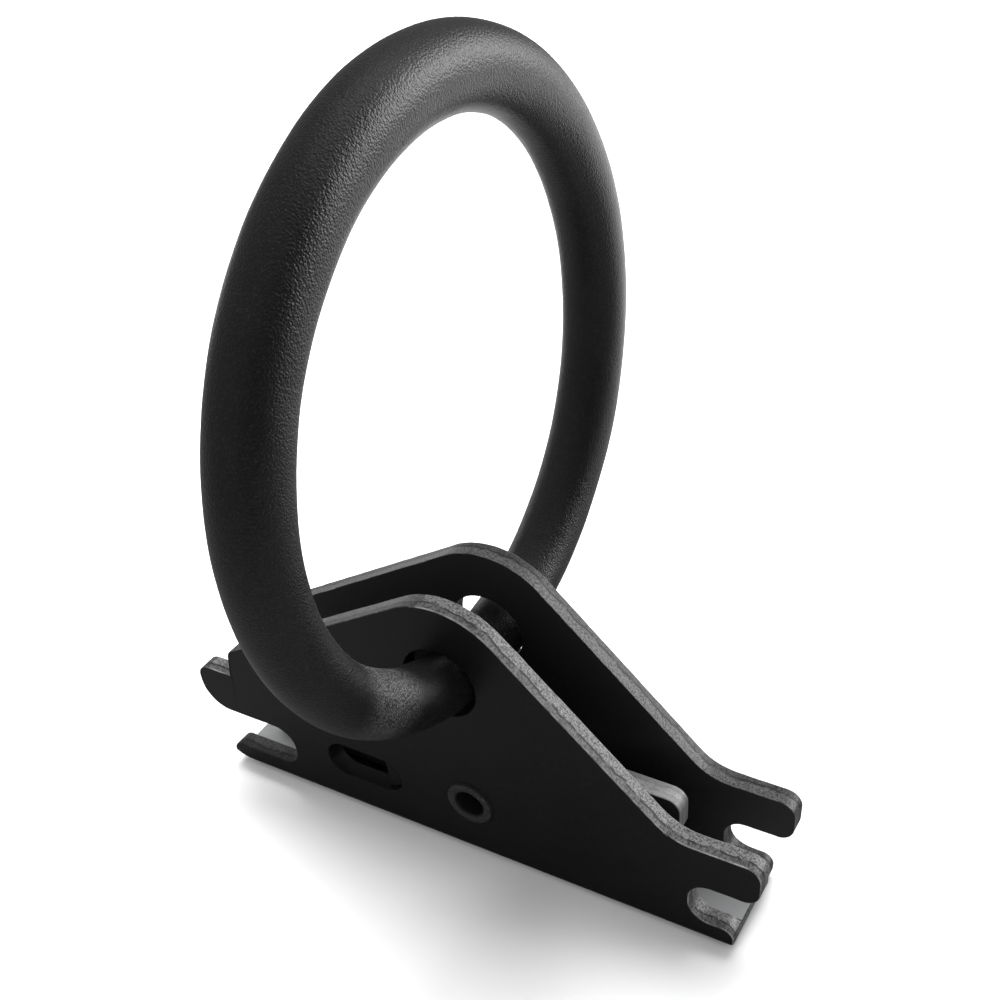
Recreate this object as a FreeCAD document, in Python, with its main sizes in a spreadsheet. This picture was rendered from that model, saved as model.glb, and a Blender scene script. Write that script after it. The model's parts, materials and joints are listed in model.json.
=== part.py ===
import FreeCAD, Part
import math
import os
import Sketcher

# Cargo-track fitting with a round ring. X runs along the fitting (the latch nose points to -X and its
# thumb tab is at +X), Y across the two cheeks, Z up. The origin is the middle of the underside.

doc = FreeCAD.newDocument("track_ring_fitting")
V = FreeCAD.Vector

# driving dimensions, millimetres
dimensions = {
    # folded hook body
    "sheet": 2.3,
    "body_width": 12.3,
    "bend_outer": 1.4,
    "bend_inner": 0.5,
    "lip_top": 3.2,
    "notch_top": 9.1,
    "notch_radius": 2.6,
    "hook_lip_end": 34.9,
    "hook_notch_end": 24.1,
    "hook_finger_end": 37.1,
    "hook_finger_top": 15.6,
    "hook_step_end": 31.9,
    "hook_step_top": 31.1,
    "hook_web_end": 33.6,
    "hook_bevel_run": 3.1,
    "hook_bevel_rise": 1.6,
    "latch_lip_end": 34.5,
    "latch_notch_end": 29.0,
    "latch_finger_end": 37.0,
    "latch_finger_top": 14.7,
    "latch_bevel": 1.0,
    "hook_slope": 0.592,
    "hook_slope_rise": 37.93,
    "latch_slope": 0.955,
    "latch_slope_rise": 40.31,
    "crown_height": 36.4,
    "apex_radius": 9.6,
    "foot_radius": 6.5,
    "step_radius": 1.5,
    "tip_radius": 1.9,
    "hook_tip_radius": 3.6,
    "lip_radius": 1.5,
    # holes in the cheeks
    "eye_along": -0.25,
    "eye_height": 26.4,
    "eye_radius": 4.45,
    "slot_inner": 8.1,
    "slot_outer": 18.7,
    "slot_height": 5.1,
    "slot_middle": 7.75,
    # ring
    "ring_inside": 50.8,
    "ring_bar": 7.0,
    "ring_play_along": 0.5,
    "ring_play_across": 2.0,
    "ring_play_down": 0.26,
    # tube rivet and its two bushes
    "rivet_along": 1.6,
    "rivet_height": 8.6,
    "rivet_radius": 2.2,
    "rivet_bore": 1.75,
    "rivet_flare": 3.1,
    "rivet_lip": 0.4,
    "rivet_gap": 0.05,
    "bush_radius": 3.5,
    "bush_gap": 0.06,
    # latch plate
    "latch_sheet": 2.3,
    "latch_travel": 7.4,
    "latch_floor_gap": 0.3,
    "nose_end": 31.6,
    "nose_bottom": 3.6,
    "nose_top": 8.6,
    "nose_root": 24.6,
    "bar_start": 23.4,
    "bar_top": 12.4,
    "bar_end": 21.3,
    "tab_start": 17.5,
    "tab_end": 25.7,
    "tab_bottom": 9.8,
    "tab_top": 14.9,
    "tab_radius": 1.8,
    "latch_corner": 0.8,
    "window_start": 22.6,
    "window_end": 6.6,
    "window_bottom": 5.1,
    "window_top": 10.4,
    "rivet_slot_gap": 0.1,
    "nib_length": 2.6,
    "nib_height": 2.2,
    # spring and its seat
    "spring_wire": 0.65,
    "spring_mean": 2.05,
    "spring_turns": 6,
    "spring_gap": 0.05,
    "seat_radius": 2.5,
    "seat_length": 10.8,
}
sheet = doc.addObject("Spreadsheet::Sheet", "dims")
for row, (alias, value) in enumerate(dimensions.items(), start=1):
    sheet.set("A%d" % row, alias)
    sheet.set("B%d" % row, str(value))
    sheet.setAlias("B%d" % row, alias)
doc.recompute()


def newBody(label):
    body = doc.addObject("PartDesign::Body", label)
    body.Label = label
    return body


def newSketch(body, role, name):
    plane = [item for item in body.Origin.OriginFeatures if item.Role == role][0]
    sketch = body.newObject("Sketcher::SketchObject", name)
    sketch.AttachmentSupport = (plane, [""])
    sketch.MapMode = "FlatFace"
    return sketch


def dimension(sketch, constraint, expression):
    index = sketch.addConstraint(constraint)
    sketch.setExpression("Constraints[%d]" % index, expression)


def fixPoint(sketch, geometry, end, across, up):
    """Ties a point to its two distances from the sketch's origin."""
    point = sketch.getPoint(geometry, end)
    dimension(sketch, Sketcher.Constraint("DistanceX", geometry, end, point.x), across)
    dimension(sketch, Sketcher.Constraint("DistanceY", geometry, end, point.y), up)


def drawPolygon(sketch, corners):
    """Closed outline through the corners, each one a pair of expressions."""
    count = len(corners)
    angles = [2 * math.pi * i / count for i in range(count)]
    points = [V(40 * math.cos(a), 40 * math.sin(a), 0) for a in angles]
    for i in range(count):
        sketch.addGeometry(Part.LineSegment(points[i], points[(i + 1) % count]), False)
    for i in range(count):
        sketch.addConstraint(Sketcher.Constraint("Coincident", i, 2, (i + 1) % count, 1))
    for i, (across, up) in enumerate(corners):
        fixPoint(sketch, i, 1, across, up)


def drawCircle(sketch, across, up, radius):
    index = sketch.addGeometry(Part.Circle(V(1, 1, 0), V(0, 0, 1), 1), False)
    fixPoint(sketch, index, 3, across, up)
    dimension(sketch, Sketcher.Constraint("Radius", index, 1), radius)


def drawSlot(sketch, first, last, up, radius):
    """Obround with its two arc centres at first and last."""
    axis = V(0, 0, 1)
    leftArc = Part.ArcOfCircle(Part.Circle(V(-3, 0, 0), axis, 1), math.pi / 2, 3 * math.pi / 2)
    rightArc = Part.ArcOfCircle(Part.Circle(V(3, 0, 0), axis, 1), -math.pi / 2, math.pi / 2)
    left = sketch.addGeometry(leftArc, False)
    right = sketch.addGeometry(rightArc, False)
    low = sketch.addGeometry(Part.LineSegment(V(-3, -1, 0), V(3, -1, 0)), False)
    high = sketch.addGeometry(Part.LineSegment(V(3, 1, 0), V(-3, 1, 0)), False)
    joins = [(left, 2, low, 1), (low, 2, right, 1), (right, 2, high, 1), (high, 2, left, 1)]
    for one, oneEnd, other, otherEnd in joins:
        sketch.addConstraint(Sketcher.Constraint("Coincident", one, oneEnd, other, otherEnd))
    above = up + " + " + radius
    below = up + " - " + radius
    fixPoint(sketch, left, 1, first, above)
    fixPoint(sketch, left, 2, first, below)
    fixPoint(sketch, right, 1, last, below)
    fixPoint(sketch, right, 2, last, above)
    dimension(sketch, Sketcher.Constraint("DistanceX", left, 3, -3), first)
    dimension(sketch, Sketcher.Constraint("DistanceX", right, 3, 3), last)


def pad(body, sketch, name, length):
    """Pads a sketch half to each side of its plane."""
    feature = body.newObject("PartDesign::Pad", name)
    feature.Profile = sketch
    feature.SideType = "Symmetric"
    feature.setExpression("Length", length)
    doc.recompute()
    return feature


def cutThrough(body, sketch, name):
    """Cuts a sketch through everything on both sides and makes sure that it removed material."""
    before = body.Shape.Volume
    feature = body.newObject("PartDesign::Pocket", name)
    feature.Profile = sketch
    feature.SideType = "Symmetric"
    feature.Type = "ThroughAll"
    doc.recompute()
    if body.Shape.Volume >= before - 0.01:
        raise RuntimeError(name + " removed nothing")
    return feature


def edgesAlong(shape, direction, places, reach=0.05):
    """Names of the straight edges along a direction whose middle is at one of the (u, v) places."""
    names = []
    for number, edge in enumerate(shape.Edges, start=1):
        if edge.Curve.TypeId != "Part::GeomLine":
            continue
        if abs(abs(edge.Curve.Direction.dot(direction)) - 1) > 1e-4:
            continue
        middle = edge.valueAt((edge.FirstParameter + edge.LastParameter) / 2)
        spot = (middle.x, middle.z) if direction.y else (middle.y, middle.z)
        if any(math.hypot(spot[0] - u, spot[1] - v) < reach for u, v in places):
            names.append("Edge%d" % number)
    return names


def roundEdges(body, names, name, radius):
    if not names:
        raise RuntimeError(name + " found no edges")
    solid = body.Tip
    feature = body.newObject("PartDesign::Fillet", name)
    feature.Base = (solid, names)
    feature.setExpression("Radius", radius)
    doc.recompute()
    if "Up-to-date" not in feature.State or not feature.Shape.isValid():
        raise RuntimeError(name + " failed: " + str(feature.State))
    return feature


def place(thing, along="0", across="0", up="0"):
    """Ties the position of a sub-part to expressions."""
    for axis, expression in (("x", along), ("y", across), ("z", up)):
        thing.setExpression("Placement.Base." + axis, expression)


def makeHookBody():
    """Sheet folded to a U: two cheeks with notched ends, joined by a web along the underside."""
    body = newBody("hook_body")
    outline = newSketch(body, "XZ_Plane", "cheek_outline")
    footAlong = "(dims.latch_slope_rise - dims.latch_finger_top) / dims.latch_slope"
    apexAlong = "(dims.latch_slope_rise - dims.hook_slope_rise) / (dims.latch_slope + dims.hook_slope)"
    corners = {
        "hook bevel": ("-dims.hook_lip_end + dims.hook_bevel_run", "0"),
        "latch bevel": ("dims.latch_lip_end - dims.latch_bevel", "0"),
        "latch end": ("dims.latch_lip_end", "dims.latch_bevel"),
        "latch lip": ("dims.latch_lip_end", "dims.lip_top"),
        "latch notch low": ("dims.latch_notch_end", "dims.lip_top"),
        "latch notch high": ("dims.latch_notch_end", "dims.notch_top"),
        "latch tip low": ("dims.latch_finger_end", "dims.notch_top"),
        "latch tip high": ("dims.latch_finger_end", "dims.latch_finger_top"),
        "latch foot": (footAlong, "dims.latch_finger_top"),
        "apex": (apexAlong, "dims.hook_slope_rise + dims.hook_slope * " + apexAlong),
        "hook step high": ("-dims.hook_step_top",
                           "dims.hook_slope_rise - dims.hook_slope * dims.hook_step_top"),
        "hook step low": ("-dims.hook_step_end", "dims.hook_finger_top"),
        "hook tip high": ("-dims.hook_finger_end", "dims.hook_finger_top"),
        "hook tip low": ("-dims.hook_finger_end", "dims.notch_top"),
        "hook notch high": ("-dims.hook_notch_end", "dims.notch_top"),
        "hook notch low": ("-dims.hook_notch_end", "dims.lip_top"),
        "hook lip": ("-dims.hook_lip_end", "dims.lip_top"),
        "hook end": ("-dims.hook_lip_end", "dims.hook_bevel_rise"),
    }
    drawPolygon(outline, list(corners.values()))
    doc.recompute()
    order = list(corners)
    spots = {name: outline.getPoint(order.index(name), 1) for name in order}
    pad(body, outline, "folded_blank", "dims.body_width")
    roundings = [
        ("notch_corners", ("latch notch low", "latch notch high", "hook notch high", "hook notch low"),
         "dims.notch_radius"),
        ("lip_corners", ("latch lip", "hook lip"), "dims.lip_radius"),
        ("finger_corners", ("latch tip low", "latch tip high", "hook tip high"), "dims.tip_radius"),
        ("hook_finger_nose", ("hook tip low",), "dims.hook_tip_radius"),
        ("slope_foot", ("latch foot",), "dims.foot_radius"),
        ("crown", ("apex",), "dims.apex_radius"),
        ("hook_step", ("hook step high",), "dims.step_radius"),
    ]
    for name, places, radius in roundings:
        near = [(spots[p].x, spots[p].y) for p in places]
        roundEdges(body, edgesAlong(body.Shape, V(0, 1, 0), near), name, radius)

    half = dimensions["body_width"] / 2
    under = edgesAlong(body.Shape, V(1, 0, 0), [(-half, 0), (half, 0)])
    roundEdges(body, under, "outer_bend", "dims.bend_outer")

    channel = newSketch(body, "YZ_Plane", "channel_section")
    inside = "(dims.body_width / 2 - dims.sheet)"
    crown = "(dims.crown_height + dims.sheet)"
    drawPolygon(channel, [("-" + inside, "dims.sheet"), (inside, "dims.sheet"), (inside, crown),
                          ("-" + inside, crown)])
    cutThrough(body, channel, "channel")
    wall = dimensions["body_width"] / 2 - dimensions["sheet"]
    creases = edgesAlong(body.Shape, V(1, 0, 0), [(-wall, dimensions["sheet"]), (wall, dimensions["sheet"])])
    roundEdges(body, creases, "inner_bend", "dims.bend_inner")

    relief = newSketch(body, "XY_Plane", "web_relief")
    beyond = "-dims.hook_lip_end - dims.sheet"
    drawPolygon(relief, [(beyond, "-" + inside), ("-dims.hook_web_end", "-" + inside),
                         ("-dims.hook_web_end", inside), (beyond, inside)])
    cutThrough(body, relief, "web_end")

    eye = newSketch(body, "XZ_Plane", "ring_eye")
    drawCircle(eye, "dims.eye_along", "dims.eye_height", "dims.eye_radius")
    cutThrough(body, eye, "ring_eyes")
    slot = newSketch(body, "XZ_Plane", "seat_slot")
    drawSlot(slot, "-dims.slot_outer + dims.slot_height / 2", "-dims.slot_inner - dims.slot_height / 2",
             "dims.slot_middle", "dims.slot_height / 2")
    cutThrough(body, slot, "seat_slots")
    hole = newSketch(body, "XZ_Plane", "rivet_hole")
    drawCircle(hole, "dims.rivet_along", "dims.rivet_height", "dims.rivet_radius + dims.rivet_gap")
    cutThrough(body, hole, "rivet_holes")
    return body


def makeRing():
    """Round bar bent to a ring, standing in the cheeks' eyes with its play taken up on one side."""
    ring = doc.addObject("Part::Torus", "o_ring")
    ring.Label = "o_ring"
    radius = "((dims.ring_inside + dims.ring_bar) / 2)"
    ring.setExpression("Radius1", radius)
    ring.setExpression("Radius2", "dims.ring_bar / 2")
    ring.Placement = FreeCAD.Placement(V(0, 0, 0), FreeCAD.Rotation(V(0, 1, 0), 90))
    cheek = "((dims.body_width - dims.sheet) / 2)"
    height = "dims.eye_height - dims.ring_play_down + sqrt(" + radius + " ^ 2 - " + cheek + " ^ 2)"
    place(ring, "dims.eye_along + dims.ring_play_along", "dims.ring_play_across", height)
    return ring


def makeRivet():
    """Hollow rivet through both cheeks with a rolled flare at each end."""
    body = newBody("tube_rivet")
    section = newSketch(body, "XY_Plane", "rivet_section")
    face = "dims.body_width / 2"
    rim = "(dims.body_width / 2 + dims.rivet_lip)"
    corners = [("dims.rivet_bore", "-" + rim), ("dims.rivet_flare", "-" + rim),
               ("dims.rivet_flare", "-" + face), ("dims.rivet_radius", "-" + face),
               ("dims.rivet_radius", face), ("dims.rivet_flare", face),
               ("dims.rivet_flare", rim), ("dims.rivet_bore", rim)]
    drawPolygon(section, corners)
    turned = body.newObject("PartDesign::Revolution", "turned_rivet")
    turned.Profile = section
    turned.ReferenceAxis = (section, ["V_Axis"])
    turned.Angle = 360
    doc.recompute()
    rims = []
    for number, edge in enumerate(body.Shape.Edges, start=1):
        outer = abs(edge.BoundBox.YMin) > dimensions["body_width"] / 2 + 0.01
        if outer and edge.Curve.TypeId == "Part::GeomCircle":
            rims.append("Edge%d" % number)
    roundEdges(body, rims, "rolled_rims", "dims.rivet_lip * 0.75")
    place(body, "dims.rivet_along", "0", "dims.rivet_height")
    return body


def makeBush(label, across):
    """Sleeve on the rivet between the latch plate and one cheek."""
    outside = doc.addObject("Part::Cylinder", label + "_outside")
    bore = doc.addObject("Part::Cylinder", label + "_bore")
    length = "dims.body_width / 2 - dims.sheet - dims.latch_sheet / 2 - 2 * dims.bush_gap"
    outside.setExpression("Radius", "dims.bush_radius")
    bore.setExpression("Radius", "dims.rivet_radius + dims.rivet_gap")
    for part in (outside, bore):
        part.Placement = FreeCAD.Placement(V(0, 0, 0), FreeCAD.Rotation(V(1, 0, 0), -90))
        part.setExpression("Height", length)
    bush = doc.addObject("Part::Cut", label)
    bush.Label = label
    bush.Base = outside
    bush.Tool = bore
    place(bush, "dims.rivet_along", across, "dims.rivet_height")
    return bush


def makeLatch():
    """Flat plate sliding in the middle of the channel: nose, bar and thumb tab in one piece."""
    body = newBody("latch_plate")
    outline = newSketch(body, "XZ_Plane", "latch_outline")
    floor = "(dims.sheet + dims.latch_floor_gap)"
    corners = {
        "nose low": ("-dims.nose_end", "dims.nose_bottom"),
        "nose root low": ("-dims.nose_root", "dims.nose_bottom"),
        "bar low": ("-dims.bar_start", floor),
        "bar end": ("dims.bar_end", floor),
        "tab root": ("dims.bar_end", "dims.tab_bottom"),
        "tab low": ("dims.tab_end", "dims.tab_bottom"),
        "tab high": ("dims.tab_end", "dims.tab_top"),
        "tab start": ("dims.tab_start", "dims.tab_top"),
        "tab step": ("dims.tab_start", "dims.bar_top"),
        "bar high": ("-dims.bar_start", "dims.bar_top"),
        "nose root high": ("-dims.nose_root", "dims.nose_top"),
        "nose high": ("-dims.nose_end", "dims.nose_top"),
    }
    drawPolygon(outline, list(corners.values()))
    doc.recompute()
    order = list(corners)
    spots = {name: outline.getPoint(order.index(name), 1) for name in order}
    pad(body, outline, "latch_blank", "dims.latch_sheet")
    roundings = [
        ("tab_corner", ("tab high",), "dims.tab_radius"),
        ("latch_corners",
         ("nose low", "nose high", "tab low", "tab start", "bar high", "bar end", "tab root"),
         "dims.latch_corner"),
    ]
    for name, places, radius in roundings:
        near = [(spots[p].x, spots[p].y) for p in places]
        roundEdges(body, edgesAlong(body.Shape, V(0, 1, 0), near), name, radius)
    window = newSketch(body, "XZ_Plane", "spring_window")
    nibLow = "(dims.slot_middle - dims.nib_height / 2)"
    nibHigh = "(dims.slot_middle + dims.nib_height / 2)"
    nibEnd = "(-dims.window_start + dims.nib_length)"
    start = "-dims.window_start"
    drawPolygon(window, [(start, "dims.window_bottom"), ("-dims.window_end", "dims.window_bottom"),
                         ("-dims.window_end", "dims.window_top"), (start, "dims.window_top"),
                         (start, nibHigh), (nibEnd, nibHigh), (nibEnd, nibLow), (start, nibLow)])
    cutThrough(body, window, "spring_window_cut")
    slot = newSketch(body, "XZ_Plane", "rivet_slot")
    drawSlot(slot, "dims.rivet_along - dims.latch_travel", "dims.rivet_along", "dims.rivet_height",
             "(dims.rivet_radius + dims.rivet_slot_gap)")
    cutThrough(body, slot, "rivet_slot_cut")
    return body


def makeSeat():
    """Half-round bar across the body: its round side sits in the ends of the two cheek slots."""
    body = newBody("spring_seat")
    section = newSketch(body, "XZ_Plane", "seat_section")
    arc = section.addGeometry(
        Part.ArcOfCircle(Part.Circle(V(0, 0, 0), V(0, 0, 1), 2), -math.pi / 2, math.pi / 2), False)
    flat = section.addGeometry(Part.LineSegment(V(0, 2, 0), V(0, -2, 0)), False)
    section.addConstraint(Sketcher.Constraint("Coincident", arc, 2, flat, 1))
    section.addConstraint(Sketcher.Constraint("Coincident", flat, 2, arc, 1))
    section.addConstraint(Sketcher.Constraint("Coincident", arc, 3, -1, 1))
    section.addConstraint(Sketcher.Constraint("PointOnObject", arc, 1, -2))
    section.addConstraint(Sketcher.Constraint("PointOnObject", arc, 2, -2))
    dimension(section, Sketcher.Constraint("Radius", arc, 2), "dims.seat_radius")
    pad(body, section, "seat_bar", "dims.seat_length")
    place(body, "-dims.slot_inner - dims.slot_height / 2", "0", "dims.slot_middle")
    return body


def makeSpring():
    """Round-wire compression spring between the latch window and the seat."""
    body = newBody("return_spring")
    wire = newSketch(body, "XZ_Plane", "wire_section")
    drawCircle(wire, "dims.spring_mean", "0", "dims.spring_wire / 2")
    coil = body.newObject("PartDesign::AdditiveHelix", "coil")
    coil.Profile = wire
    coil.ReferenceAxis = (wire, ["V_Axis"])
    coil.Mode = "height-turns-angle"
    length = "(dims.window_start - dims.slot_inner - dims.slot_height / 2)"
    coil.setExpression("Height", length + " - dims.spring_wire - 2 * dims.spring_gap")
    coil.setExpression("Turns", "dims.spring_turns")
    body.Placement = FreeCAD.Placement(V(0, 0, 0), FreeCAD.Rotation(V(0, 1, 0), 90))
    place(body, "-dims.window_start + dims.spring_gap + dims.spring_wire / 2", "0", "dims.slot_middle")
    return body


innerFace = "(dims.body_width / 2 - dims.sheet)"
subParts = [
    makeHookBody(),
    makeRing(),
    makeRivet(),
    makeBush("front_spacer_bush", "-" + innerFace + " + dims.bush_gap"),
    makeBush("rear_spacer_bush", "dims.latch_sheet / 2 + dims.bush_gap"),
    makeLatch(),
    makeSeat(),
    makeSpring(),
]
doc.recompute()

for item in doc.Objects:
    if "Invalid" in item.State or "Error" in item.State:
        raise RuntimeError(item.Name + " failed: " + str(item.State))
for item in subParts:
    if item.Shape.isNull() or not item.Shape.isValid():
        raise RuntimeError(item.Label + " has no valid shape")
    box = item.Shape.optimalBoundingBox()
    print("%-18s %9.1f mm3  x %.2f..%.2f  y %.2f..%.2f  z %.2f..%.2f" % (
        item.Label, item.Shape.Volume, box.XMin, box.XMax, box.YMin, box.YMax, box.ZMin, box.ZMax))

os.makedirs("parts", exist_ok=True)
for item in subParts:
    item.Shape.exportStep("parts/" + item.Label + ".step")
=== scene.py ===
import json
import math

import bpy
from mathutils import Matrix, Vector


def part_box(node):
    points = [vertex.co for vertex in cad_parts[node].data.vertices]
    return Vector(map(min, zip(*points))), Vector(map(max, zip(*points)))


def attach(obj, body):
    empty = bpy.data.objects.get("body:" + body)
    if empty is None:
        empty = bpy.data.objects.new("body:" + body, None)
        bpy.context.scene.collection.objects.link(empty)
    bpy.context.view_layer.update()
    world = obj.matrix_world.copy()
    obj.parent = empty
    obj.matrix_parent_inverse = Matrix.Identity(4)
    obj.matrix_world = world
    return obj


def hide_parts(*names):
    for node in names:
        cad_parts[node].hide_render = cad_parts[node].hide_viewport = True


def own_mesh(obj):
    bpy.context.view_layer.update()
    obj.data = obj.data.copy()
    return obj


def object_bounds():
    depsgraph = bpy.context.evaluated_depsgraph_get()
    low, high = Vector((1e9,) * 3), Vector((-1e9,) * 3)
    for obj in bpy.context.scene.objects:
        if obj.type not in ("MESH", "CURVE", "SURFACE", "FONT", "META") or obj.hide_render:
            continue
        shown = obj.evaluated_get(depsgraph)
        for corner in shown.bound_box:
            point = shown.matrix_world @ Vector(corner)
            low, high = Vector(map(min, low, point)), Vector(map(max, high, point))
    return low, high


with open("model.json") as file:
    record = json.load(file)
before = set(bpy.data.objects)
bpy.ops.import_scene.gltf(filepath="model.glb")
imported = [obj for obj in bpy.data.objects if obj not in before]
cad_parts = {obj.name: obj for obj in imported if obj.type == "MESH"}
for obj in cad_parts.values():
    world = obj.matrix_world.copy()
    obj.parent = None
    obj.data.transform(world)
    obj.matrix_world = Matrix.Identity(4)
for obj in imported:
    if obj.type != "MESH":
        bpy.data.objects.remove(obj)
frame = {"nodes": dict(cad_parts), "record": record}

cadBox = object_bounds()
mm = 0.001
mergeWithin = 0.002 * mm
thinnest = 0.005 * mm            # a face narrower than this is a sliver
shortest = 0.01 * mm             # an edge shorter than this is dropped
flatAngle = math.radians(0.4)    # facets that meet flatter than this are one face
sharpAngle = math.radians(30)
scene = bpy.context.scene


def clearSelection():
    if bpy.context.object and bpy.context.object.mode != "OBJECT":
        bpy.ops.object.mode_set(mode="OBJECT")
    bpy.ops.object.select_all(action="DESELECT")


def makeActive(piece):
    clearSelection()
    piece.select_set(True)
    bpy.context.view_layer.objects.active = piece


def startEdit(piece, mode="EDGE"):
    makeActive(piece)
    bpy.ops.object.mode_set(mode="EDIT")
    bpy.ops.mesh.select_mode(type=mode)
    bpy.ops.mesh.select_all(action="DESELECT")


def endEdit():
    bpy.ops.object.mode_set(mode="OBJECT")


def clearMeshSelection(piece, mode="EDGE"):
    startEdit(piece, mode)
    endEdit()


def settleOrigin(piece):  # the place goes into the mesh, the object stays at the origin
    makeActive(piece)
    bpy.ops.object.transform_apply(location=True, rotation=True, scale=True)


def nodeBox(node):
    low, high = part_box(node)
    return Vector(low), Vector(high)


def nodeMiddle(node):
    low, high = nodeBox(node)
    return (low + high) / 2


def jointNamed(name):
    joints = frame["record"]["behaviour"]["joints"]
    return [joint for joint in joints if joint["name"] == name][0]


def nodeCopy(node, name):  # a merged copy of a CAD node to work on
    piece = bpy.data.objects.new(name, frame["nodes"][node].data.copy())
    scene.collection.objects.link(piece)
    piece.data.materials.clear()
    startEdit(piece, "VERT")
    bpy.ops.mesh.select_all(action="SELECT")
    bpy.ops.mesh.remove_doubles(threshold=mergeWithin)
    bpy.ops.mesh.select_mode(type="FACE")
    bpy.ops.mesh.select_all(action="SELECT")
    bpy.ops.mesh.dissolve_limited(angle_limit=flatAngle, delimit=set())
    endEdit()
    return piece


def dropShortEdges(piece):
    startEdit(piece)
    bpy.ops.mesh.select_all(action="SELECT")
    bpy.ops.mesh.dissolve_degenerate(threshold=shortest)
    endEdit()


def bevelWhere(piece, test, width, segments):  # rounds the sharp edges that pass the test
    clearMeshSelection(piece)
    mesh = piece.data
    points = [vertex.co for vertex in mesh.vertices]
    faceNormals = {}
    for face in mesh.polygons:
        longest = max((points[first] - points[last]).length for first, last in face.edge_keys)
        if face.area < longest * thinnest:  # the normal of a sliver says nothing
            continue
        for key in face.edge_keys:
            faceNormals.setdefault(key, []).append(face.normal)
    for edge in mesh.edges:
        normals = faceNormals.get(edge.key, [])
        sharp = len(normals) == 2 and normals[0].angle(normals[1], 0) > sharpAngle
        middle = (points[edge.vertices[0]] + points[edge.vertices[1]]) / 2
        edge.select = sharp and test(middle)
    bpy.ops.object.mode_set(mode="EDIT")
    bpy.ops.mesh.bevel(offset=width, offset_type="OFFSET", segments=segments, profile=0.5,
                       affect="EDGES", clamp_overlap=False, miter_outer="ARC")
    endEdit()


def addModifier(piece, kind, settings):
    makeActive(piece)
    modifier = piece.modifiers.new(kind.lower(), kind)
    for key, value in settings.items():
        setattr(modifier, key, value)
    bpy.ops.object.modifier_apply(modifier=modifier.name)


def smoothFaces(piece, angle=35):
    makeActive(piece)
    bpy.ops.object.shade_smooth_by_angle(angle=math.radians(angle))
    addModifier(piece, "WEIGHTED_NORMAL", {"keep_sharp": True, "weight": 100})


def triangleCount(piece):
    return sum(len(face.vertices) - 2 for face in piece.data.polygons)


def finishPiece(piece, body, nodes, material):
    piece.data.materials.clear()
    piece.data.materials.append(material)
    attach(piece, body)
    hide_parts(*nodes)
    print("piece", piece.name, triangleCount(piece), "triangles")


def newGroup(name, inputs, outputs):
    group = bpy.data.node_groups.new(name, "ShaderNodeTree")
    for label, value in inputs.items():
        socket = group.interface.new_socket(label, in_out="INPUT", socket_type="NodeSocketFloat")
        socket.default_value = value
    for label, kind in outputs.items():
        group.interface.new_socket(label, in_out="OUTPUT", socket_type=kind)
    return group, group.nodes.new("NodeGroupInput"), group.nodes.new("NodeGroupOutput")


def addNode(tree, kind, settings=None, values=None):
    node = tree.nodes.new(kind)
    for key, value in (settings or {}).items():
        setattr(node, key, value)
    for key, value in (values or {}).items():
        node.inputs[key].default_value = value
    return node


def feed(tree, socket, value):  # numbers and colours sit on the socket itself, outputs are linked
    if isinstance(value, tuple):
        socket.default_value = value + (1.0,)
    elif isinstance(value, (int, float)):
        socket.default_value = value
    else:
        tree.links.new(value, socket)


def mathNode(tree, operation, first, second=0.0):
    node = addNode(tree, "ShaderNodeMath", {"operation": operation})
    feed(tree, node.inputs[0], first)
    feed(tree, node.inputs[1], second)
    return node.outputs[0]


def rangeNode(tree, value, low, high, newLow=0.0, newHigh=1.0, ramp="LINEAR"):
    node = addNode(tree, "ShaderNodeMapRange", {"clamp": True, "interpolation_type": ramp},
                   {"From Min": low, "From Max": high, "To Min": newLow, "To Max": newHigh})
    tree.links.new(value, node.inputs["Value"])
    return node.outputs["Result"]


def noiseNode(tree, vector, scale, detail=3.0, roughness=0.5):
    node = addNode(tree, "ShaderNodeTexNoise", {}, {"Detail": detail, "Roughness": roughness})
    feed(tree, node.inputs["Vector"], vector)
    feed(tree, node.inputs["Scale"], scale)
    return node.outputs["Fac"]


def objectPlace(tree):
    return addNode(tree, "ShaderNodeTexCoord").outputs["Object"]


def makeGrainGroup():
    # powder coat: rounded pebbles with finer orange peel between them
    look = {
        "pebbleSoftness": 0.6,
        "peelDetail": 2.0,
        "fleckDetail": 1.0,
        "fleckRange": (0.56, 0.72),  # only the highest specks count
        "cloudScale": 160.0,
        "cloudDetail": 4.0,
        "cloudRoughness": 0.6,
    }
    group, source, target = newGroup(
        "powderGrain", {"Pebble Scale": 1800.0, "Peel Scale": 5200.0, "Peel Share": 0.35},
        {"Height": "NodeSocketFloat", "Fleck": "NodeSocketFloat", "Cloud": "NodeSocketFloat"})
    place = objectPlace(group)
    cells = addNode(group, "ShaderNodeTexVoronoi", {"feature": "SMOOTH_F1"},
                    {"Smoothness": look["pebbleSoftness"], "Randomness": 1.0})
    group.links.new(place, cells.inputs["Vector"])
    group.links.new(source.outputs["Pebble Scale"], cells.inputs["Scale"])
    pebble = mathNode(group, "SUBTRACT", 1.0, cells.outputs["Distance"])
    peel = noiseNode(group, place, source.outputs["Peel Scale"], look["peelDetail"])
    peelPart = mathNode(group, "MULTIPLY", peel, source.outputs["Peel Share"])
    group.links.new(mathNode(group, "ADD", pebble, peelPart), target.inputs["Height"])
    speck = noiseNode(group, place, source.outputs["Peel Scale"], look["fleckDetail"])
    group.links.new(rangeNode(group, speck, *look["fleckRange"]), target.inputs["Fleck"])
    cloud = noiseNode(group, place, look["cloudScale"], look["cloudDetail"], look["cloudRoughness"])
    group.links.new(cloud, target.inputs["Cloud"])
    return group


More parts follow.
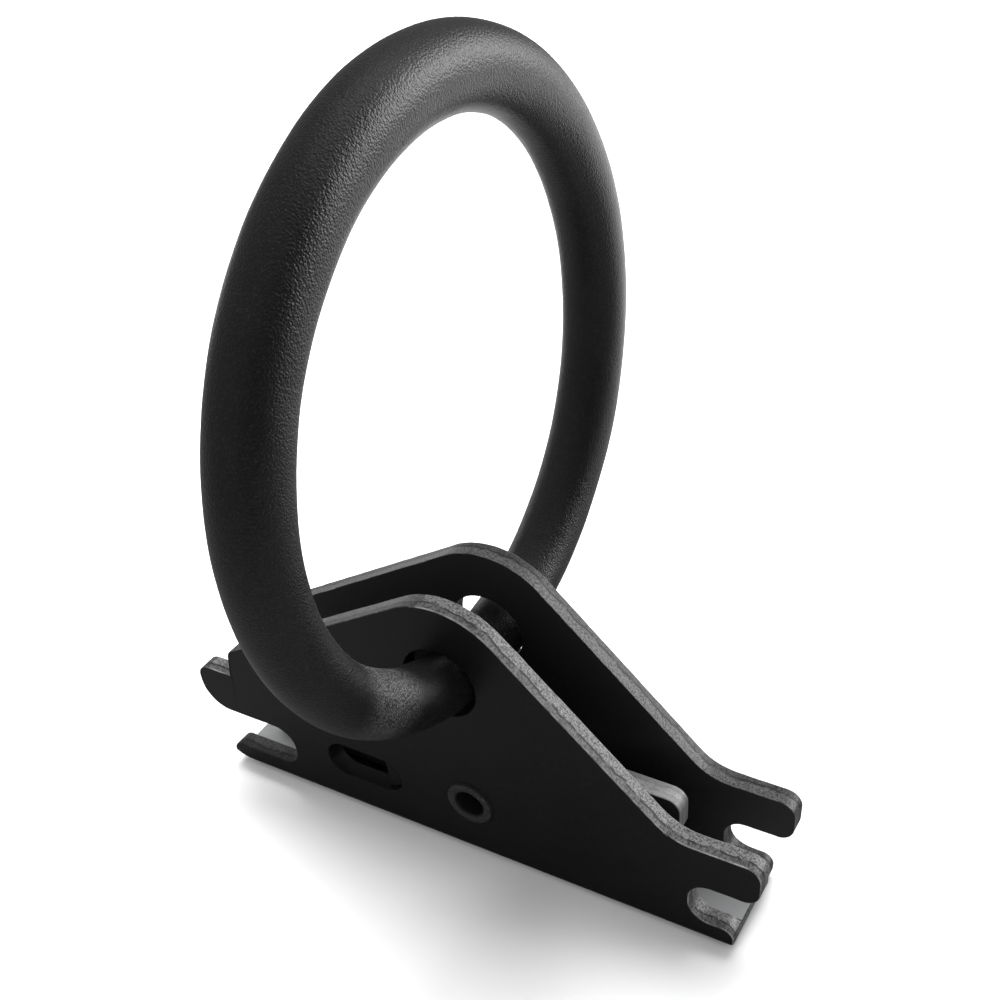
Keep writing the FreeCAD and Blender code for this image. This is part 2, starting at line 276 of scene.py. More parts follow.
def makeShearGroup():
    # sheared face: fine draw marks across the sheet, then a torn, grainy band, with a dark line between
    look = {
        "wanderScale": 420.0,
        "wander": 0.22 * mm,             # how far the tear strays to each side
        "tearSoftness": 0.08 * mm,
        "lineRange": (0.07 * mm, 0.2 * mm),
        "gapScale": 900.0,               # breaks the dark line up
        "gapRange": (0.3, 0.46),
        "markStretch": (1.0, 0.35, 1.0),
        "markScale": 5200.0,
        "grainScale": 4200.0,
        "shadeRange": (0.36, 0.60),
        "drawnShare": 0.5,               # the drawn part stays darker than the torn part
    }
    group, source, target = newGroup(
        "shearedFace", {"Tear Depth": 5.25 * mm},
        {"Height": "NodeSocketFloat", "Shade": "NodeSocketFloat", "Line": "NodeSocketFloat"})
    place = objectPlace(group)
    split = addNode(group, "ShaderNodeSeparateXYZ")
    group.links.new(place, split.inputs[0])
    depth = mathNode(group, "ABSOLUTE", split.outputs["Y"])
    wander = noiseNode(group, place, look["wanderScale"], 3.0, 0.6)
    wander = rangeNode(group, wander, 0.3, 0.7, -look["wander"], look["wander"])
    reached = mathNode(group, "ADD", depth, wander)
    offset = mathNode(group, "SUBTRACT", reached, source.outputs["Tear Depth"])
    torn = rangeNode(group, offset, -look["tearSoftness"], look["tearSoftness"], 1.0, 0.0)
    line = rangeNode(group, mathNode(group, "ABSOLUTE", offset), *look["lineRange"], 1.0, 0.0)
    broken = rangeNode(group, noiseNode(group, place, look["gapScale"], 2.0), *look["gapRange"])
    group.links.new(mathNode(group, "MULTIPLY", line, broken), target.inputs["Line"])
    marks = addNode(group, "ShaderNodeMapping", {}, {"Scale": look["markStretch"]})
    group.links.new(place, marks.inputs["Vector"])
    drawn = noiseNode(group, marks.outputs["Vector"], look["markScale"], 3.0, 0.7)
    grains = noiseNode(group, place, look["grainScale"], 3.0, 0.75)
    pick = addNode(group, "ShaderNodeMix", {"data_type": "FLOAT"})
    group.links.new(torn, pick.inputs["Factor"])
    group.links.new(drawn, pick.inputs["A"])
    group.links.new(grains, pick.inputs["B"])
    group.links.new(pick.outputs["Result"], target.inputs["Height"])
    shade = rangeNode(group, pick.outputs["Result"], *look["shadeRange"])
    band = rangeNode(group, torn, 0.0, 1.0, look["drawnShare"], 1.0)
    group.links.new(mathNode(group, "MULTIPLY", shade, band), target.inputs["Shade"])
    return group


def makeWearAndLightGroup():
    # bare or rubbed metal on the outer corners, broken up by noise; on the hook body the same mask also
    # paints light on the open web and a highlight on the hole rims
    look = {
        "patchScale": 700.0,
        "patchDetail": 4.0,
        "patchRoughness": 0.65,
        "bareRange": (0.25, 0.55),
    }
    group, source, target = newGroup("edgeWearAndPaintedLight", {"Edge": 0.0, "Amount": 0.5}, {"Mask": "NodeSocketFloat"})
    patchy = noiseNode(group, objectPlace(group), look["patchScale"], look["patchDetail"],
                       look["patchRoughness"])
    worn = mathNode(group, "MULTIPLY", source.outputs["Edge"], source.outputs["Amount"])
    total = mathNode(group, "ADD", worn, mathNode(group, "SUBTRACT", patchy, 0.5))
    group.links.new(rangeNode(group, total, *look["bareRange"]), target.inputs["Mask"])
    return group


grainGroup = makeGrainGroup()
shearGroup = makeShearGroup()
wearAndLightGroup = makeWearAndLightGroup()
print("node groups ready")


def newMaterial(name):
    material = bpy.data.materials.new(name)
    material.use_nodes = True
    tree = material.node_tree
    return material, tree, tree.nodes["Principled BSDF"]


def groupNode(tree, group, values=None):
    node = tree.nodes.new("ShaderNodeGroup")
    node.node_tree = group
    for key, value in (values or {}).items():
        node.inputs[key].default_value = value
    return node


def mixColour(tree, factor, first, second):
    node = addNode(tree, "ShaderNodeMix", {"data_type": "RGBA"})
    colourInputs = [socket for socket in node.inputs if socket.type == "RGBA"]
    for socket, value in zip(colourInputs, (first, second)):
        feed(tree, socket, value)
    feed(tree, node.inputs["Factor"], factor)
    return [socket for socket in node.outputs if socket.type == "RGBA"][0]


def mixValue(tree, factor, first, second):
    node = addNode(tree, "ShaderNodeMix", {"data_type": "FLOAT"})
    for label, value in (("Factor", factor), ("A", first), ("B", second)):
        feed(tree, node.inputs[label], value)
    return node.outputs["Result"]


def mixAround(tree, factor, middle, spread):  # a value that strays evenly to both sides
    return mixValue(tree, factor, middle - spread, middle + spread)


def bumpNode(tree, height, distance, before=None):
    node = addNode(tree, "ShaderNodeBump", {}, {"Distance": distance, "Strength": 1.0})
    tree.links.new(height, node.inputs["Height"])
    if before:
        tree.links.new(before, node.inputs["Normal"])
    return node.outputs["Normal"]


def attributeValue(tree, name):
    return addNode(tree, "ShaderNodeAttribute", {"attribute_name": name}).outputs["Fac"]


def grainNode(tree, values):
    return groupNode(tree, grainGroup, {"Pebble Scale": values["pebbleScale"],
                                        "Peel Scale": values["peelScale"],
                                        "Peel Share": values["peelShare"]})


def makePlateMaterial(name, values):
    material, tree, shader = newMaterial(name)
    cut = attributeValue(tree, "cutFace")
    edge = attributeValue(tree, "corner")
    grain = grainNode(tree, values)
    shear = groupNode(tree, shearGroup, {"Tear Depth": values["tearDepth"]})
    wear = groupNode(tree, wearAndLightGroup, {"Amount": values["wear"]})
    tree.links.new(edge, wear.inputs["Edge"])
    coat = mixColour(tree, grain.outputs["Cloud"], values["coatDark"], values["coatLight"])
    # painted fill light: faces between the cheeks get a lighter coat to lift the shade there
    coat = mixColour(tree, attributeValue(tree, "channel"), coat, values["channelPaintedFill"])
    offLine = mathNode(tree, "SUBTRACT", 1.0, shear.outputs["Line"])
    bright = mathNode(tree, "MULTIPLY", shear.outputs["Shade"], offLine)
    thin = mixColour(tree, bright, values["cutDark"], values["cutLight"])
    colour = mixColour(tree, cut, coat, thin)
    # rubbed metal on worn corners, and on the hook body painted light on the open web and painted highlights
    # on the hole rims
    colour = mixColour(tree, wear.outputs["Mask"], colour, values["rubbedAndLitTone"])
    tree.links.new(colour, shader.inputs["Base Color"])
    faceRough = mixAround(tree, grain.outputs["Cloud"], values["coatRough"], values["roughSpread"])
    rough = mixValue(tree, cut, faceRough, values["cutRough"])
    rough = mixValue(tree, wear.outputs["Mask"], rough, values["rubbedRough"])
    tree.links.new(rough, shader.inputs["Roughness"])
    fine = bumpNode(tree, grain.outputs["Height"], values["grainDepth"])
    cutHeight = mathNode(tree, "MULTIPLY", shear.outputs["Height"], cut)
    tree.links.new(bumpNode(tree, cutHeight, values["cutDepth"], fine), shader.inputs["Normal"])
    dull = mixValue(tree, attributeValue(tree, "inHole"), values["specular"], values["holeSpecular"])
    cutShine = mixValue(tree, bright, values["cutSpecularLow"], values["cutSpecularHigh"])
    tree.links.new(mixValue(tree, cut, dull, cutShine), shader.inputs["Specular IOR Level"])
    return material


def makeBarMaterial():
    values = {
        "dark": (0.003, 0.003, 0.0033),
        "light": (0.008, 0.008, 0.0085),
        "fleck": (0.03, 0.03, 0.031),
        "fleckShare": 0.5,
        "pebbleScale": 5200.0,
        "peelScale": 8000.0,
        "peelShare": 0.8,
        "pebbleDepth": 0.042 * mm,
        "rough": (0.26, 0.38),
        "specular": 0.5,
        "rubAndHighlightPlace": (1.5 * mm, -17.0 * mm, 35.5 * mm),  # where the bar works against the front eye; the rub there is lightened to paint in a highlight
        "rubAndHighlightNear": 2.0 * mm,
        "rubAndHighlightFar": 6.5 * mm,
        "rubAndHighlightHeights": (0.85, 1.15),  # the pebbles' tops take the rub and the painted highlight, the gaps between them hardly
        "rubAndHighlightLeast": 0.05,
        "rubbedAndLitTone": (0.15, 0.15, 0.153),
        "rubbedSpecular": 1.0,
    }
    material, tree, shader = newMaterial("pebbledBlackCoat")
    grain = grainNode(tree, values)
    colour = mixColour(tree, grain.outputs["Cloud"], values["dark"], values["light"])
    flecks = mathNode(tree, "MULTIPLY", grain.outputs["Fleck"], values["fleckShare"])
    colour = mixColour(tree, flecks, colour, values["fleck"])
    away = addNode(tree, "ShaderNodeVectorMath", {"operation": "DISTANCE"})
    tree.links.new(objectPlace(tree), away.inputs[0])
    away.inputs[1].default_value = values["rubAndHighlightPlace"]
    # rub near the front eye, lightened into a painted highlight on the pebbles' tops
    rubAndHighlight = rangeNode(tree, away.outputs["Value"], values["rubAndHighlightNear"], values["rubAndHighlightFar"], 1.0, 0.0, "SMOOTHSTEP")
    tops = rangeNode(tree, grain.outputs["Height"], *values["rubAndHighlightHeights"], values["rubAndHighlightLeast"])
    rubAndHighlight = mathNode(tree, "MULTIPLY", rubAndHighlight, tops)
    colour = mixColour(tree, rubAndHighlight, colour, values["rubbedAndLitTone"])
    tree.links.new(colour, shader.inputs["Base Color"])
    tree.links.new(mixValue(tree, grain.outputs["Cloud"], *values["rough"]), shader.inputs["Roughness"])
    tree.links.new(bumpNode(tree, grain.outputs["Height"], values["pebbleDepth"]), shader.inputs["Normal"])
    shine = mixValue(tree, rubAndHighlight, values["specular"], values["rubbedSpecular"])
    tree.links.new(shine, shader.inputs["Specular IOR Level"])
    return material


def makeBareMaterial(name, values):
    material, tree, shader = newMaterial(name)
    grain = grainNode(tree, values)
    tone = mixColour(tree, grain.outputs["Cloud"], values["dark"], values["light"])
    tree.links.new(tone, shader.inputs["Base Color"])
    rough = mixValue(tree, grain.outputs[values["roughBy"]], *values["rough"])
    tree.links.new(rough, shader.inputs["Roughness"])
    tree.links.new(bumpNode(tree, grain.outputs["Height"], values["grainDepth"]), shader.inputs["Normal"])
    shader.inputs["Metallic"].default_value = 1.0
    return material


noTear = 1.0  # a tear depth far outside the object, so that no band is drawn
plateLook = {
    "pebbleScale": 2600.0,
    "peelScale": 6500.0,
    "peelShare": 0.5,
    "coatDark": (0.0035, 0.0037, 0.004),
    "coatLight": (0.0075, 0.0077, 0.0082),
    # painted fill light for the shaded faces between the cheeks
    "channelPaintedFill": (0.016, 0.016, 0.0165),
    "coatRough": 0.42,
    "roughSpread": 0.05,
    "grainDepth": 0.006 * mm,
    "cutDark": (0.014, 0.014, 0.014),
    "cutLight": (0.13, 0.13, 0.13),
    "cutRough": 0.38,
    "cutDepth": 0.05 * mm,
    "tearDepth": 5.25 * mm,
    "wear": 0.42,
    "rubbedAndLitTone": (0.22, 0.222, 0.225),
    "rubbedRough": 0.34,
    "specular": 0.32,
    "holeSpecular": 0.3,
    "cutSpecularLow": 0.2,
    "cutSpecularHigh": 0.9,
}
rivetLook = {
    "cutDark": (0.010, 0.010, 0.010),
    "cutLight": (0.03, 0.03, 0.03),
    "cutDepth": 0.01 * mm,
    "cutSpecularLow": 0.3,
    "cutSpecularHigh": 0.4,
    "tearDepth": noTear,
    "wear": 0.15,
}
latchLook = {
    "coatDark": (0.022, 0.022, 0.0225),
    "coatLight": (0.045, 0.045, 0.046),
    "cutDark": (0.15, 0.15, 0.15),
    "cutLight": (0.26, 0.26, 0.26),
    "cutDepth": 0.015 * mm,
    "cutSpecularLow": 0.45,
    "cutSpecularHigh": 0.6,
    "tearDepth": 0.4 * mm,
    "wear": 0.5,
}
seatLook = {
    "cutDepth": 0.015 * mm,
    "cutSpecularHigh": 0.3,
    "tearDepth": noTear,
    "wear": 0.3,
}
wireLook = {
    "pebbleScale": 3000.0,
    "peelScale": 9000.0,
    "peelShare": 0.4,
    "dark": (0.16, 0.15, 0.14),
    "light": (0.30, 0.285, 0.265),
    "roughBy": "Fleck",
    "rough": (0.28, 0.42),
    "grainDepth": 0.004 * mm,
}
zincLook = {
    "pebbleScale": 2400.0,
    "peelScale": 7000.0,
    "peelShare": 0.3,
    "dark": (0.24, 0.235, 0.22),
    "light": (0.36, 0.35, 0.32),
    "roughBy": "Cloud",
    "rough": (0.32, 0.5),
    "grainDepth": 0.006 * mm,
}
plateMaterial = makePlateMaterial("satinBlackPlate", plateLook)
rivetMaterial = makePlateMaterial("rolledRivetCoat", plateLook | rivetLook)
latchMaterial = makePlateMaterial("rubbedLatchPlate", plateLook | latchLook)
seatMaterial = makePlateMaterial("seatBarCoat", plateLook | seatLook)
barMaterial = makeBarMaterial()
wireMaterial = makeBareMaterial("drawnSpringWire", wireLook)
zincMaterial = makeBareMaterial("zincPlatedBush", zincLook)
print("materials ready")


def never(face):
    return 0.0


def writeMasks(piece, howCut, inHole=never, howWornAndLit=never, inChannel=never):
    # howCut gives 0 on the sheet's skin and up to 1 on a sheared face
    cornerArea = 0.35 * mm * mm
    mesh = piece.data
    masks = {name: [0.0] * len(mesh.loops) for name in ("cutFace", "corner", "inHole", "channel")}
    for face in mesh.polygons:
        cut = float(howCut(face))
        onCorner = face.area < cornerArea and 0.2 < abs(face.normal.y) < 0.97
        # the corner mask holds real corner wear and the painted light from howWornAndLit
        marks = {"cutFace": cut, "corner": cut if onCorner else float(howWornAndLit(face)),
                 "inHole": float(inHole(face)), "channel": float(inChannel(face))}
        for name, value in marks.items():
            for loop in face.loop_indices:
                masks[name][loop] = value
    for name, values in masks.items():
        mask = mesh.attributes.new(name, "FLOAT", "CORNER")
        mask.data.foreach_set("value", values)


def wanderCutEdges(piece, howCut, scale, depth):  # the shear left the outline slightly uneven
    group = piece.vertex_groups.new(name="cutOutline")
    for face in piece.data.polygons:
        if howCut(face) > 0:
            group.add(list(face.vertices), 1.0, "REPLACE")
    texture = bpy.data.textures.new(piece.name + "_shear", "CLOUDS")
    texture.noise_scale = scale
    texture.noise_depth = 2
    addModifier(piece, "DISPLACE", {"texture": texture, "strength": depth, "mid_level": 0.5,
                                    "texture_coords": "LOCAL", "vertex_group": "cutOutline"})


def makeHookBody():
    sizes = {
        "outerRound": 0.16 * mm,     # roll-over on the punch side
        "innerRound": 0.08 * mm,     # broken burr inside
        "slice": 0.6 * mm,           # spacing of the cuts that let the edges wander
        # where holes and notches have their ends, so that no cut grazes them
        "tangents": (-31.9 * mm, -24.1 * mm, -18.7 * mm, -8.1 * mm, -4.7 * mm, 4.2 * mm, 29.0 * mm,
                     34.5 * mm),
        "wander": 0.09 * mm,
        "wanderScale": 1.6 * mm,
        "sheet": 2.3 * mm,
        "outerBand": 0.2 * mm,       # how near the skins an edge has to lie to be rounded
        "innerBand": 0.05 * mm,
        "sliver": 0.0005 * mm * mm,
        "skinFacing": 0.85,          # a face turned this far across the body is the sheet's skin
        "eyeReach": 5.0 * mm,
        "slotReach": 9.0 * mm,       # from the seat to the far end of the long slot
        "foldTop": 1.5 * mm,
        "webTop": 3.0 * mm,
        "openWeb": 23.5 * mm,
        # painted light: the web is made lighter where the notches open it to the light above
        "webPaintedLight": 1.6,
        # painted highlight along the lower front rims of the eye and the slot
        "rimPaintedHighlight": 0.8,
        "lipTop": 4.0 * mm,
        "lipPaintedShade": 0.3,               # painted shade: the lip tops, shaded by the fingers above, get little of the light cut colour
        "rearPaintedShade": 0.5,              # painted shade: cut faces on the rear cheek and those turned towards the hook end get half the light cut colour
    }
    piece = nodeCopy("hook_body", "hook_body_plate")
    low, high = nodeBox("hook_body")
    half = high.y
    inner = half - sizes["sheet"]
    eye = Vector(jointNamed("ring_swing")["pos_m"])
    slotLow, slotHigh = nodeBox("spring_seat")

    startEdit(piece)
    for index in range(1, int((high.x - low.x) / sizes["slice"])):
        along = low.x + index * sizes["slice"]
        if min(abs(along - tangent) for tangent in sizes["tangents"]) < sizes["slice"] / 2:
            continue
        bpy.ops.mesh.select_all(action="SELECT")
        bpy.ops.mesh.bisect(plane_co=(along, 0, 0), plane_no=(1, 0, 0))
    endEdit()
    dropShortEdges(piece)
    bevelWhere(piece, lambda spot: abs(spot.y) > half - sizes["outerBand"], sizes["outerRound"], 3)
    bevelWhere(piece, lambda spot: abs(abs(spot.y) - inner) < sizes["innerBand"], sizes["innerRound"], 2)
    dropShortEdges(piece)

    def inHole(face):
        middle = face.center
        inEye = Vector((middle.x - eye.x, middle.z - eye.z)).length < sizes["eyeReach"]
        alongSlot = slotLow.x - sizes["slotReach"] < middle.x < slotHigh.x + mm
        inSlot = alongSlot and slotLow.z - mm < middle.z < slotHigh.z + mm
        return abs(face.normal.y) < 0.97 and (inEye or inSlot)

    def inChannel(face):  # painted fill light: the faces between the cheeks are coloured lighter to lift the shade that falls there
        facingAcross = abs(face.normal.y) > sizes["skinFacing"]
        return facingAcross and abs(face.center.y) < inner + sizes["innerRound"]

    def onWeb(face):
        middle = face.center
        return face.normal.z > 0.6 and abs(middle.y) < inner and middle.z < sizes["webTop"]

    def howWornAndLit(face):  # painted light on the web where the notches open it to the light above, a painted highlight on the holes' lower front rims
        if onWeb(face):
            return sizes["webPaintedLight"] if abs(face.center.x) > sizes["openWeb"] else 0
        # painted highlight on the upward-facing lower front rims of the holes
        onEdge = 0.2 < abs(face.normal.y) < 0.95 and face.normal.z > 0.2
        onRim = inHole(face) and face.center.y < 0 and onEdge
        return sizes["rimPaintedHighlight"] if onRim else 0

    def howCut(face):
        middle = face.center
        skin = abs(face.normal.y) > sizes["skinFacing"]
        foldSkin = abs(face.normal.x) < 0.3 and middle.z < sizes["foldTop"]
        sliver = face.area < sizes["sliver"]
        if skin or foldSkin or sliver or onWeb(face) or inHole(face):
            return 0
        # painted shade: the lip tops under the fingers get only part of the light cut colour
        if middle.x < -sizes["openWeb"] and middle.z < sizes["lipTop"]:
            return sizes["lipPaintedShade"]
        # painted shade: the rear cheek's cut faces and those turned towards -X get half the light cut colour
        return sizes["rearPaintedShade"] if middle.y > 0 or face.normal.x < -0.2 else 1

    wanderCutEdges(piece, howCut, sizes["wanderScale"], sizes["wander"])
    writeMasks(piece, howCut, inHole, howWornAndLit, inChannel)
    smoothFaces(piece)
    finishPiece(piece, "body", ["hook_body"], plateMaterial)


def makeRing():
    sizes = {
        "around": 640,
        "across": 84,
        "unevenness": 0.14 * mm,
        "unevenScale": 8.0 * mm,
        "pebble": 0.006 * mm,
        "pebbleScale": 0.5 * mm,
        "weldSwell": 0.04 * mm,      # each of the steps that swell the bar at its ground butt weld
        "weldSteps": (2.6 * mm, 1.9 * mm, 1.2 * mm, 0.7 * mm),
    }
    low, high = nodeBox("o_ring")
    middle = nodeMiddle("o_ring")
    barRadius = (high.x - low.x) / 2
    ringRadius = (high.y - low.y) / 2 - barRadius
    clearSelection()
    bpy.ops.mesh.primitive_torus_add(
        major_segments=sizes["around"], minor_segments=sizes["across"], major_radius=ringRadius,
        minor_radius=barRadius - sizes["pebble"] / 2, location=middle, rotation=(0, math.pi / 2, 0))
    piece = bpy.context.object
    piece.name = "o_ring_bar"
    settleOrigin(piece)
    for reach in sizes["weldSteps"]:
        clearMeshSelection(piece, "VERT")
        for vertex in piece.data.vertices:
            vertex.select = abs(vertex.co.y) < reach and vertex.co.z < middle.z
        bpy.ops.object.mode_set(mode="EDIT")
        bpy.ops.transform.shrink_fatten(value=sizes["weldSwell"])
        endEdit()
    for label, scale, depth in (("barBend", sizes["unevenScale"], sizes["unevenness"]),
                                ("barPebble", sizes["pebbleScale"], sizes["pebble"])):
        texture = bpy.data.textures.new(label, "CLOUDS")
        texture.noise_scale = scale
        texture.noise_depth = 1
        addModifier(piece, "DISPLACE", {"texture": texture, "strength": depth, "mid_level": 0.5,
                                        "texture_coords": "LOCAL"})
    makeActive(piece)
    bpy.ops.object.shade_smooth()
    finishPiece(piece, "ring", ["o_ring"], barMaterial)


def turnPiece(name, section, middle, sides):
    # section: (radius, distance along Y) once round the closed outline
    radius, along = section[0]
    clearSelection()
    bpy.ops.mesh.primitive_circle_add(
        vertices=sides, radius=radius, fill_type="NOTHING",
        location=(middle.x, middle.y + along, middle.z), rotation=(math.pi / 2, 0, 0))
    piece = bpy.context.object
    piece.name = name
    settleOrigin(piece)
    startEdit(piece)
    bpy.ops.mesh.select_all(action="SELECT")
    for (oldRadius, oldAlong), (newRadius, newAlong) in zip(section, section[1:] + section[:1]):
        bpy.ops.mesh.extrude_region_move()
        ratio = newRadius / oldRadius
        if newRadius != oldRadius:
            bpy.ops.transform.resize(value=(ratio, 1, ratio),
                                     center_override=(middle.x, middle.y + oldAlong, middle.z))
        if newAlong != oldAlong:
            bpy.ops.transform.translate(value=(0, newAlong - oldAlong, 0))
    bpy.ops.mesh.select_all(action="SELECT")
    bpy.ops.mesh.remove_doubles(threshold=0.001 * mm)
    bpy.ops.mesh.normals_make_consistent(inside=False)
    endEdit()
    return piece


def makeRivet():
    sizes = {
        "bore": 1.75 * mm,
        "shank": 2.2 * mm,
        "rollSteps": 8,
        "crestBand": 0.12 * mm,
        "coatRub": 0.2,              # what is left of the rub below the crest
    }
    low, high = nodeBox("tube_rivet")
    middle = nodeMiddle("tube_rivet")
    flare = (high.x - low.x) / 2
    tip = high.y
    skin = nodeBox("hook_body")[1].y             # the cheek's outer face
    rollWidth = (flare - sizes["bore"]) / 2      # half the width of the rolled lip
    rollCentre = sizes["bore"] + rollWidth
    rise = tip - skin
    lip = []                                     # from the bore over the lip's crest to its outer foot
    for index in range(sizes["rollSteps"] + 1):
        turn = math.pi * index / sizes["rollSteps"]
        lip.append((rollCentre - rollWidth * math.cos(turn), skin + rise * math.sin(turn)))
    section = lip + [(sizes["shank"], skin), (sizes["shank"], -skin)]
    section += [(radius, -along) for radius, along in reversed(lip)]
    piece = turnPiece("tube_rivet_rolled", section, middle, 72)
    smoothFaces(piece, 40)

    def howRubbed(face):  # the crest of the rolled lip is rubbed
        return 1 if abs(face.center.y) > tip - sizes["crestBand"] else sizes["coatRub"]

    writeMasks(piece, howRubbed)
    finishPiece(piece, "body", ["tube_rivet"], rivetMaterial)


def makeBush(node):
    sizes = {"bore": 2.25 * mm, "chamfer": 0.2 * mm}
    low, high = nodeBox(node)
    outer = (high.x - low.x) / 2
    half = (high.y - low.y) / 2
    bore = sizes["bore"]
    edge = sizes["chamfer"]
    section = [(bore, -half + edge), (bore + edge, -half), (outer - edge, -half), (outer, -half + edge)]
    section += [(radius, -along) for radius, along in reversed(section)]
    piece = turnPiece(node + "_turned", section, nodeMiddle(node), 64)
    smoothFaces(piece, 30)
    finishPiece(piece, "body", [node], zincMaterial)


def makeLatch():
    sizes = {"round": 0.18 * mm, "band": 0.05 * mm, "skinFacing": 0.75}
    piece = nodeCopy("latch_plate", "latch_plate_sheared")
    half = nodeBox("latch_plate")[1].y
    bevelWhere(piece, lambda spot: abs(abs(spot.y) - half) < sizes["band"], sizes["round"], 3)
    smoothFaces(piece)
    writeMasks(piece, lambda face: abs(face.normal.y) < sizes["skinFacing"])
    finishPiece(piece, "latch", ["latch_plate"], latchMaterial)


def makeSeat():
    sizes = {"round": 0.15 * mm}
    piece = nodeCopy("spring_seat", "spring_seat_bar")
    bevelWhere(piece, lambda spot: True, sizes["round"], 2)
    smoothFaces(piece)
    writeMasks(piece, never)
    finishPiece(piece, "body", ["spring_seat"], seatMaterial)


def makeSpring():
    sizes = {
        "turns": 6,
        "closedTurns": 1,            # at each end
        "stepsPerTurn": 28,
        "wire": 0.65 * mm,
        "seatedPitch": 0.68 * mm,
    }
    low, high = nodeBox("return_spring")
    middle = nodeMiddle("return_spring")
    radius = (high.z - low.z) / 2 - sizes["wire"] / 2
    start = low.x + sizes["wire"] / 2
    travel = high.x - low.x - sizes["wire"]
    seated = sizes["closedTurns"] * sizes["seatedPitch"]
    active = sizes["turns"] - 2 * sizes["closedTurns"]
    curve = bpy.data.curves.new("return_spring_path", "CURVE")
    curve.dimensions = "3D"
    spline = curve.splines.new("POLY")
    count = sizes["turns"] * sizes["stepsPerTurn"]
    spline.points.add(count)
    for index in range(count + 1):
        turn = index / sizes["stepsPerTurn"]
        if turn < sizes["closedTurns"]:
            along = turn * sizes["seatedPitch"]
        elif turn > sizes["turns"] - sizes["closedTurns"]:
            along = travel - (sizes["turns"] - turn) * sizes["seatedPitch"]
        else:
            along = seated + (turn - sizes["closedTurns"]) * (travel - 2 * seated) / active
        angle = 2 * math.pi * turn
        spline.points[index].co = (start + along, middle.y + radius * math.cos(angle),
                                   middle.z + radius * math.sin(angle), 1)
    curve.bevel_depth = sizes["wire"] / 2
    curve.bevel_resolution = 3
    curve.use_fill_caps = True
    piece = bpy.data.objects.new("return_spring_wire", curve)
    scene.collection.objects.link(piece)
    makeActive(piece)
    bpy.ops.object.convert(target="MESH")
    piece = bpy.context.object
    startEdit(piece, "FACE")
    bpy.ops.mesh.select_all(action="SELECT")
    bpy.ops.mesh.normals_make_consistent(inside=False)
    endEdit()
    smoothFaces(piece, 50)
    finishPiece(piece, "body", ["return_spring"], wireMaterial)
    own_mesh(piece)


makeHookBody()
makeRing()
makeRivet()
makeBush("front_spacer_bush")
makeBush("rear_spacer_bush")
makeLatch()
makeSeat()
makeSpring()
print("pieces ready")


def makeFloor():
    look = {
        "size": 3.0,
        "tone": (0.86, 0.86, 0.86),
        "nearGloss": (0.12, 0.12, 0.12),
        "farGloss": (0.7, 0.7, 0.7),
        "glossRange": (0.05, 0.15),  # how far behind the object the gloss sees the paler floor
        "farLift": 0.45,             # keeps the floor as pale as the backdrop far away
        "liftRange": (0.3, 0.8),
        "rough": 0.9,
        "specular": 0.1,
    }
    clearSelection()
    bpy.ops.mesh.primitive_plane_add(size=look["size"], location=(0, 0, cadBox[0][2]))
    floor = bpy.context.object
    floor.name = "paleFloor"
    material, tree, shader = newMaterial("paleFloorPaint")
    path = addNode(tree, "ShaderNodeLightPath")
    split = addNode(tree, "ShaderNodeSeparateXYZ")
    tree.links.new(objectPlace(tree), split.inputs[0])
    behind = rangeNode(tree, split.outputs["Y"], *look["glossRange"], ramp="SMOOTHSTEP")
    glossTone = mixColour(tree, behind, look["nearGloss"], look["farGloss"])
    tone = mixColour(tree, path.outputs["Is Glossy Ray"], look["tone"], glossTone)
    reach = addNode(tree, "ShaderNodeVectorMath", {"operation": "LENGTH"})
    tree.links.new(objectPlace(tree), reach.inputs[0])
    lift = rangeNode(tree, reach.outputs["Value"], *look["liftRange"], 0.0, look["farLift"], "SMOOTHSTEP")
    lift = mathNode(tree, "MULTIPLY", lift, path.outputs["Is Camera Ray"])
    tree.links.new(lift, shader.inputs["Emission Strength"])
    tree.links.new(tone, shader.inputs["Base Color"])
    shader.inputs["Emission Color"].default_value = (1, 1, 1, 1)
    shader.inputs["Roughness"].default_value = look["rough"]
    shader.inputs["Specular IOR Level"].default_value = look["specular"]
    floor.data.materials.append(material)


def heading(bearing, height):  # bearing from +Y towards +X, height above the floor plane, in degrees
    turn = math.radians(bearing)
    rise = math.radians(height)
    return Vector((math.sin(turn) * math.cos(rise), math.cos(turn) * math.cos(rise), math.sin(rise)))


def makeSoftbox(name, bearing, height, width, tall, power):
    aim = Vector((0, 0, 40 * mm))
    distance = 460 * mm
    light = bpy.data.lights.new(name, "AREA")
    light.shape = "RECTANGLE"
    light.size = width
    light.size_y = tall
    light.energy = power
    holder = bpy.data.objects.new(name, light)
    scene.collection.objects.link(holder)
    towards = heading(bearing, height)
    holder.location = aim + towards * distance
    holder.rotation_euler = towards.to_track_quat("Z", "Y").to_euler()
    holder.visible_glossy = False


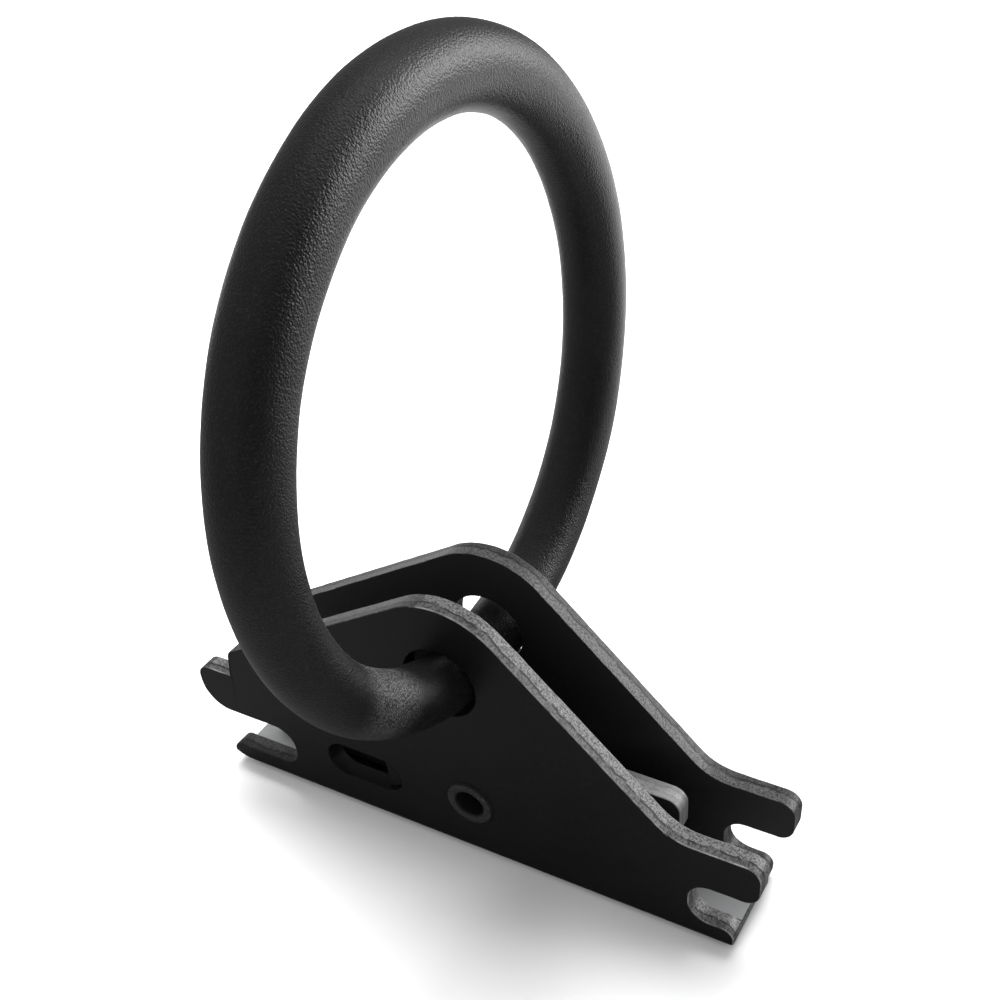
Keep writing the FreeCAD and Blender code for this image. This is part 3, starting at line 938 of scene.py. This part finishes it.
def makeWorld():
    look = {
        "ambient": 0.70,
        "backdrop": 1.0,
        "base": 0.20,
        # bearing, height, inner and outer radius in degrees, strength of each glow that the gloss sees
        "glows": ((39, 15, 6, 32, 5.4), (26, 2, 10, 38, 1.0), (15, 62, 8, 32, 0.9)),
        "darkSide": (122, 10, 20, 48, -0.17),
    }
    world = bpy.data.worlds.new("paleStudio")
    world.use_nodes = True
    tree = world.node_tree
    background = tree.nodes["Background"]
    background.inputs["Color"].default_value = (1, 1, 1, 1)
    outward = addNode(tree, "ShaderNodeTexCoord").outputs["Generated"]
    gloss = look["base"]
    for bearing, height, inner, outer, strength in look["glows"] + (look["darkSide"],):
        facing = addNode(tree, "ShaderNodeVectorMath", {"operation": "DOT_PRODUCT"})
        tree.links.new(outward, facing.inputs[0])
        facing.inputs[1].default_value = heading(bearing, height)
        glow = rangeNode(tree, facing.outputs["Value"], math.cos(math.radians(outer)),
                         math.cos(math.radians(inner)), 0.0, strength, "SMOOTHSTEP")
        gloss = mathNode(tree, "ADD", glow, gloss)
    path = addNode(tree, "ShaderNodeLightPath")
    unseen = mixValue(tree, path.outputs["Is Glossy Ray"], look["ambient"], gloss)
    strength = mixValue(tree, path.outputs["Is Camera Ray"], unseen, look["backdrop"])
    tree.links.new(strength, background.inputs["Strength"])
    scene.world = world


def makeCamera():
    view = {
        "spot": (60.33 * mm, -82.85 * mm, 112.73 * mm),
        "right": (0.8836, 0.4664, -0.0423),
        "up": (-0.2937, 0.6223, 0.7256),
        "sensor": 36,
        "lens": 44.05,
        "shiftX": -0.0719,
        "shiftY": 0.2113,
        "nearest": 5 * mm,
    }
    data = bpy.data.cameras.new("viewCamera")
    data.sensor_width = view["sensor"]
    data.lens = view["lens"]
    data.shift_x = view["shiftX"]
    data.shift_y = view["shiftY"]
    data.clip_start = view["nearest"]
    camera = bpy.data.objects.new("viewCamera", data)
    scene.collection.objects.link(camera)
    right = Vector(view["right"]).normalized()
    back = right.cross(Vector(view["up"])).normalized()
    up = back.cross(right)
    turned = Matrix((right, up, back)).transposed()
    camera.matrix_world = Matrix.Translation(view["spot"]) @ turned.to_4x4()
    scene.camera = camera


makeFloor()
makeSoftbox("topSoftbox", bearing=-32, height=62, width=0.42, tall=0.34, power=4.2)
makeSoftbox("backSoftbox", bearing=-10, height=32, width=0.40, tall=0.30, power=1.0)
makeWorld()
makeCamera()
scene.view_settings.view_transform = "Standard"
print("stage ready")
